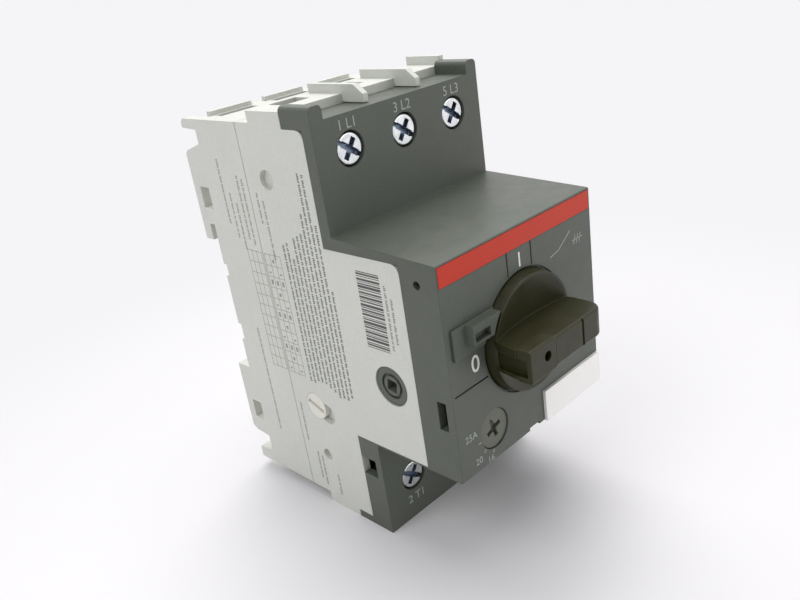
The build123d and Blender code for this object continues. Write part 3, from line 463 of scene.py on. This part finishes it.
COLUMN_TOPS = (55.2, 68.4, 78.0, 78.2, 70.2, 66.0, 65.4, 64.8, 60.2, 63.4, 62.8)
small_print("side_columns", [(28.2 + 1.3 * index, top, 31.4 + 0.14 * index, 17 * index + 5)
                             for index, top in enumerate(COLUMN_TOPS)], dark_ink)
small_print("side_small_print",
            [(13.1, 59.4, 47.0, 3), (11.8, 57.0, 50.0, 32), (46.6, 73.0, 66.4, 9),
             (44.9, 71.5, 60.5, 41), (47.2, 24.8, 15.6, 23), (44.6, 12.6, 6.4, 31),
             (43.2, 12.0, 6.0, 37), (38.6, 8.6, 5.2, 13)], grey_ink)
small_print("back_small_print",
            [(56.4, 72.0, 62.0, 7), (54.6, 70.0, 61.4, 20), (52.6, 76.0, 62.2, 33),
             (51.0, 75.4, 62.4, 46), (58.6, 79.0, 66.0, 59), (57.8, 40.6, 14.0, 72)], grey_ink)

RULE = 0.06                                # half of a ruled line's thickness
ROWS, ROW_LOW, ROW_STEP = 12, 32.4, 2.5
row_heights = [ROW_LOW + ROW_STEP * k for k in range(ROWS)]


def ruled(depths, low, high):
    """A table's upright lines at the depths given, from low to high, and its level ones."""
    uprights = [(-depth - RULE, -depth + RULE, low, high) for depth in depths]
    return uprights + [(-depths[-1], -depths[0], z - RULE, z + RULE) for z in row_heights]


# Short bars stand in for the table's figures, with gaps where a cell is empty
CELL_DEPTHS = (44.1, 45.9, 47.7)
CELL_BACK, CELL_AHEAD = 0.35, 0.3          # how far a bar reaches from the cell's middle
CELL_LOW, CELL_TOP, CELL_GROWS = 0.7, 1.1, 0.35
cells = []
for k, z in enumerate(row_heights[:-1]):
    for depth in CELL_DEPTHS:
        if (k + int(depth)) % 3:
            cells.append((-depth - CELL_BACK, -depth + CELL_AHEAD,
                          z + CELL_LOW, z + CELL_TOP + CELL_GROWS * (k % 3)))
side_mark("side_table", ruled((43.2, 45.0, 46.8, 48.6), 32.4, 60.0) + cells, grey_ink)
side_mark("back_table", ruled((49.6, 51.3, 52.9, 54.5), 32.2, 60.2), grey_ink)


# ---------------------------------------------------------------- stage, light, camera

PAPER = (0.69, 0.68, 0.70, 1)
BACKDROP = (0.915, 0.905, 0.925, 1)
FLOOR_REACH = 6.0                          # metres from the middle to each side
FADE_START, FADE_END = 0.03, 0.20          # metres from the middle
PAPER_ROUGH, PAPER_SPECULAR = 0.9, 0.1
PAPER_CLOUDS, PAPER_SPREAD = 6.0, 0.005
SKY, SKY_STRENGTH = (0.86, 0.86, 0.88, 1), 0.54
AIM = Vector((0, 0, 0.045))                # the lamps' aim, near the object's middle
# Name, place, size, power and colour
LAMPS = (("back", (0.78, 0.95, 1.9), 1.9, 31.0, (1.0, 0.99, 0.98)),
         ("top", (0.35, -0.1, 1.9), 1.6, 14.0, (1.0, 1.0, 0.99)),
         ("top_left", (-1.3, 0.1, 1.4), 1.4, 12.8, (1.0, 1.0, 0.99)),
         ("front_fill", (0.9, -1.75, 0.2), 1.4, 12.0, (1.0, 1.0, 0.98)))


def floor():
    """A pale sheet: it takes the shadow near the object, and fades into the plain backdrop."""
    mesh = bpy.data.meshes.new("floor")
    r = FLOOR_REACH
    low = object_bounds()[0].z
    mesh.from_pydata([(-r, -r, low), (r, -r, low), (r, r, low), (-r, r, low)], [], [(0, 1, 2, 3)])
    piece = bpy.data.objects.new("floor", mesh)
    bpy.context.scene.collection.objects.link(piece)
    m = Mat("floor_paper", PAPER, PAPER_ROUGH)
    m.colour_from(m.cloudy(PAPER, PAPER_CLOUDS, PAPER_SPREAD, detail=SOFT_DETAIL))
    m.b.inputs["Specular IOR Level"].default_value = PAPER_SPECULAR
    plain = m.node("ShaderNodeEmission", Color=BACKDROP, Strength=1.0)
    reach = maths(m.t, "ShaderNodeVectorMath", "LENGTH", m.coords)
    fade = m.node("ShaderNodeMapRange", From_Min=FADE_START, From_Max=FADE_END)
    fade.interpolation_type = "SMOOTHSTEP"
    m.link(reach, fade.inputs["Value"])
    path = m.node("ShaderNodeLightPath")
    seen = maths(m.t, "ShaderNodeMath", "MULTIPLY",
                 fade.outputs["Result"], path.outputs["Is Camera Ray"])
    m.link(mixed_shader(m.t, seen, m.b.outputs[0], plain.outputs[0]),
           m.t.nodes["Material Output"].inputs["Surface"])
    piece.data.materials.append(m.m)
    piece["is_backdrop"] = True


def area(name, spot, size, power, colour):
    light = bpy.data.lights.new(name, "AREA")
    light.shape = "DISK"
    light.size = size
    light.energy = power
    light.color = colour
    lamp = bpy.data.objects.new(name, light)
    bpy.context.scene.collection.objects.link(lamp)
    lamp.location = spot
    lamp.rotation_mode = "QUATERNION"
    lamp.rotation_quaternion = (AIM - Vector(spot)).to_track_quat("-Z", "Y")


def set_world():
    """A dim even sky. The camera and the reflections see the plain backdrop instead."""
    world = bpy.data.worlds.new("studio")
    bpy.context.scene.world = world
    world.use_nodes = True
    tree = world.node_tree
    sky = tree.nodes["Background"]
    plain = tree.nodes.new("ShaderNodeBackground")
    for node, colour, strength in ((sky, SKY, SKY_STRENGTH), (plain, BACKDROP, 1.0)):
        node.inputs["Color"].default_value = colour
        node.inputs["Strength"].default_value = strength
    path = tree.nodes.new("ShaderNodeLightPath")
    seen = maths(tree, "ShaderNodeMath", "MAXIMUM",
                 path.outputs["Is Camera Ray"], path.outputs["Is Glossy Ray"])
    tree.links.new(mixed_shader(tree, seen, sky.outputs[0], plain.outputs[0]),
                   tree.nodes["World Output"].inputs["Surface"])


def set_camera():
    """The camera, fitted to the straight edges in the photograph."""
    eye, target = at(-108.4, -86.4, 112.7), at(-7.2, 26.5, 47.6)
    tilt = Matrix.Rotation(math.radians(-8.8), 4, "Z")
    look = (target - eye).to_track_quat("-Z", "Y").to_matrix().to_4x4()
    camera = bpy.data.objects.new("camera", bpy.data.cameras.new("camera"))
    bpy.context.scene.collection.objects.link(camera)
    camera.location = eye
    camera.rotation_mode = "QUATERNION"
    camera.rotation_quaternion = (look @ tilt).to_quaternion()
    camera.data.sensor_width = 36.0
    camera.data.lens = 36.32
    camera.data.clip_start, camera.data.clip_end = 0.01, 20.0
    bpy.context.scene.camera = camera


floor()
for lamp in LAMPS:
    area(*lamp)
set_world()
set_camera()
bpy.context.scene.view_settings.view_transform = "Standard"
